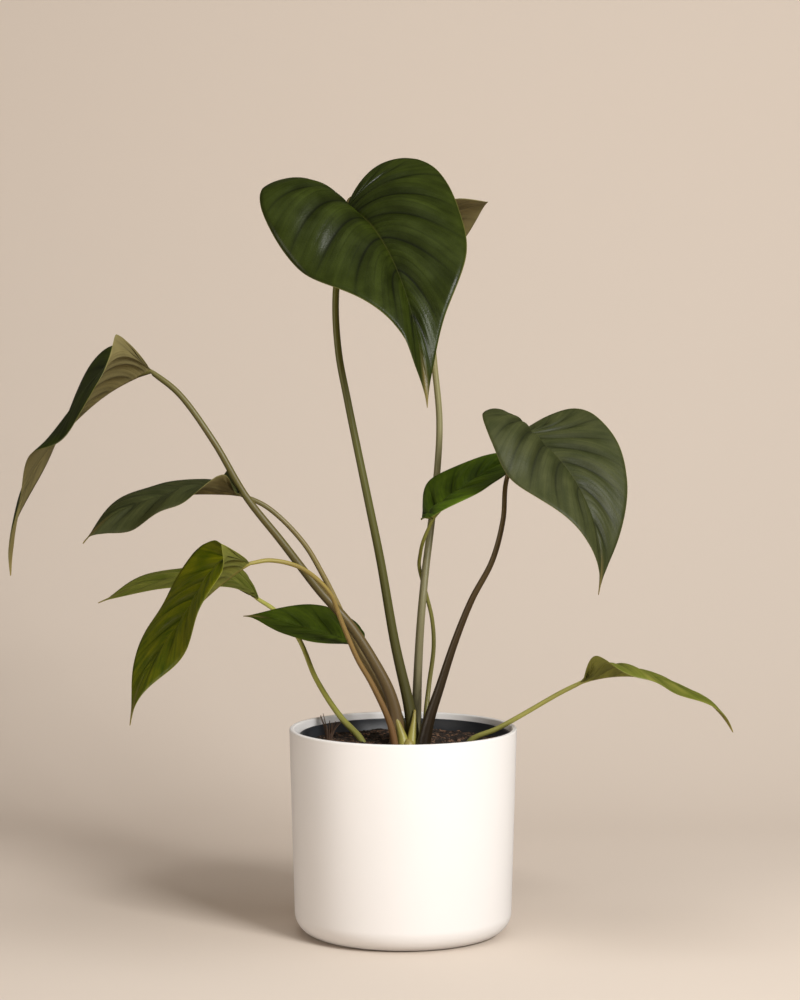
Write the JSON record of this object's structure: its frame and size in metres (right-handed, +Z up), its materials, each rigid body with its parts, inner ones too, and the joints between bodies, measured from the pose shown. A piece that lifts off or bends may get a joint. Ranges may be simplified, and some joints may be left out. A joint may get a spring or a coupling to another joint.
{
  "type": "potted homalomena rubescens",
  "caption": "Potted foliage plant: heart-shaped leaves on long arching stalks, in soil in a nursery pot inside a round cover pot.",
  "frame": {"origin": "middle of the cover pot's flat underside, where it stands", "axes": "+Z up, +Y away from the viewer of the picture, +X to that viewer's right, -Z out of the face that it stands on"},
  "size_m": [0.4415, 0.255, 0.4771],
  "materials": {
    "cover_pot": "satin glaze",
    "nursery_pot": "satin moulded",
    "soil": "damp crumbly potting soil",
    "dry_fibre": "dry plant fibre",
    "blade_dark": "glossy leaf",
    "blade_mid": "glossy leaf",
    "blade_young": "glossy young leaf",
    "stalk_dark": "smooth stalk",
    "stalk_young": "smooth young stalk"
  },
  "bodies": {
    "root": {"cover_pot": "cover_pot", "nursery_pot": "nursery_pot", "soil": "soil", "crown": "stalk_young", "dry_tuft": "dry_fibre", "blade_tall_front": "blade_dark", "stalk_tall_front": "stalk_dark", "blade_tall_back": "blade_dark", "stalk_tall_back": "stalk_dark", "blade_right": "blade_dark", "stalk_right": "stalk_dark", "blade_middle": "blade_mid", "stalk_middle": "stalk_young", "blade_far_left": "blade_dark", "stalk_far_left": "stalk_dark", "blade_upper_left": "blade_dark", "stalk_upper_left": "stalk_dark", "blade_front_left": "blade_young", "stalk_front_left": "stalk_young", "blade_back_left": "blade_mid", "stalk_back_left": "stalk_young", "blade_low_left": "blade_mid", "stalk_low_left": "stalk_young", "blade_low_right": "blade_young", "stalk_low_right": "stalk_young"}
  },
  "joints": []
}
